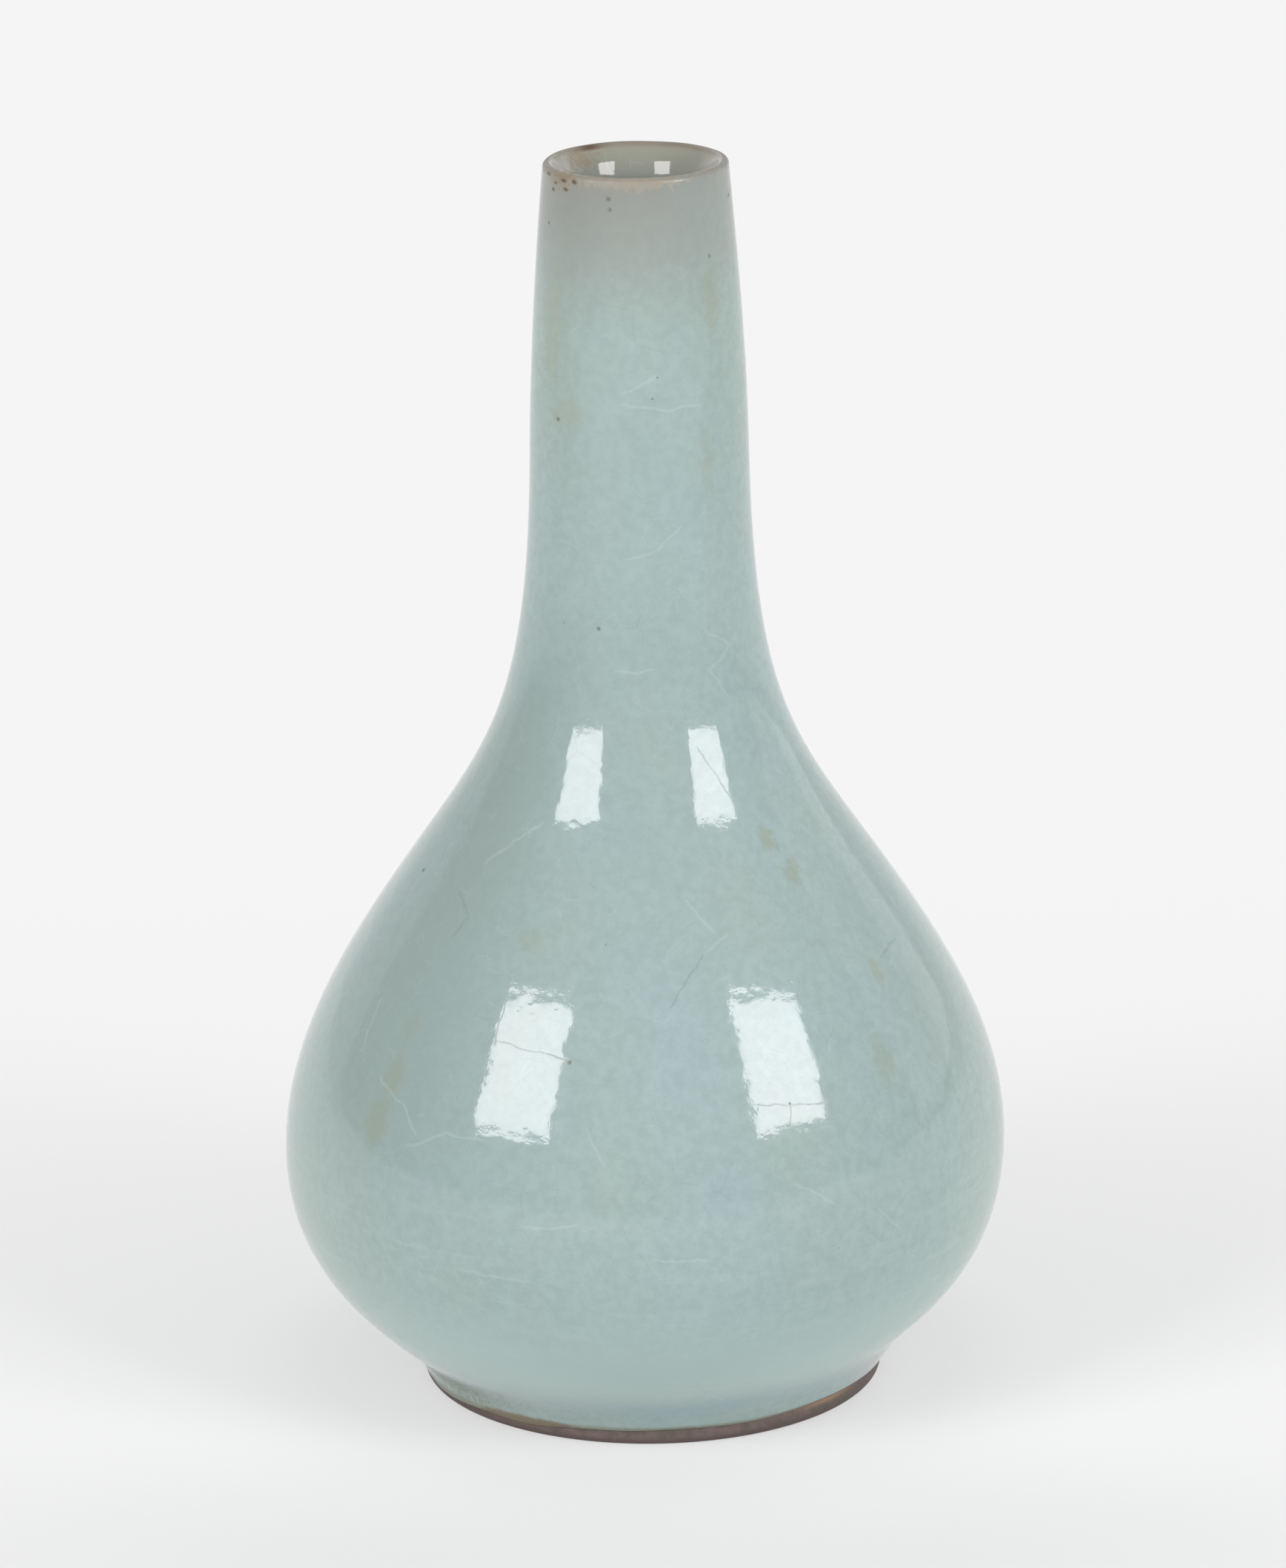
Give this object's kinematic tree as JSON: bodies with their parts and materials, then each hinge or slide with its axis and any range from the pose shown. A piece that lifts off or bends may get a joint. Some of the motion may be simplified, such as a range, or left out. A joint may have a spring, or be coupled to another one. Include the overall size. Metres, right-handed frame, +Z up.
{
  "type": "bottle vase",
  "caption": "Pear-bodied bottle vase with a tall straight neck, glazed inside and out, standing on a low unglazed foot ring.",
  "frame": {"origin": "centre of the foot ring, on the surface that the vase stands on", "axes": "+Z up along the axis that the vase was turned about; the vase is round, and -Y faces the picture's camera"},
  "size_m": [0.1158, 0.1158, 0.2003],
  "materials": {
    "stoneware": "matt grey stoneware, fired",
    "fired_foot": "matt, reddened by the fire",
    "celadon_glaze": "glossy, semi-opaque blue-green glaze with a fine crackle",
    "iron_wash": "dull purple-brown iron dressing"
  },
  "bodies": {
    "root": {"foot_ring": "fired_foot", "lower_body": "stoneware", "upper_body": "stoneware", "neck": "stoneware", "outer_glaze": "celadon_glaze", "inner_glaze": "celadon_glaze", "base_glaze": "celadon_glaze", "foot_wash": "iron_wash"}
  },
  "joints": []
}
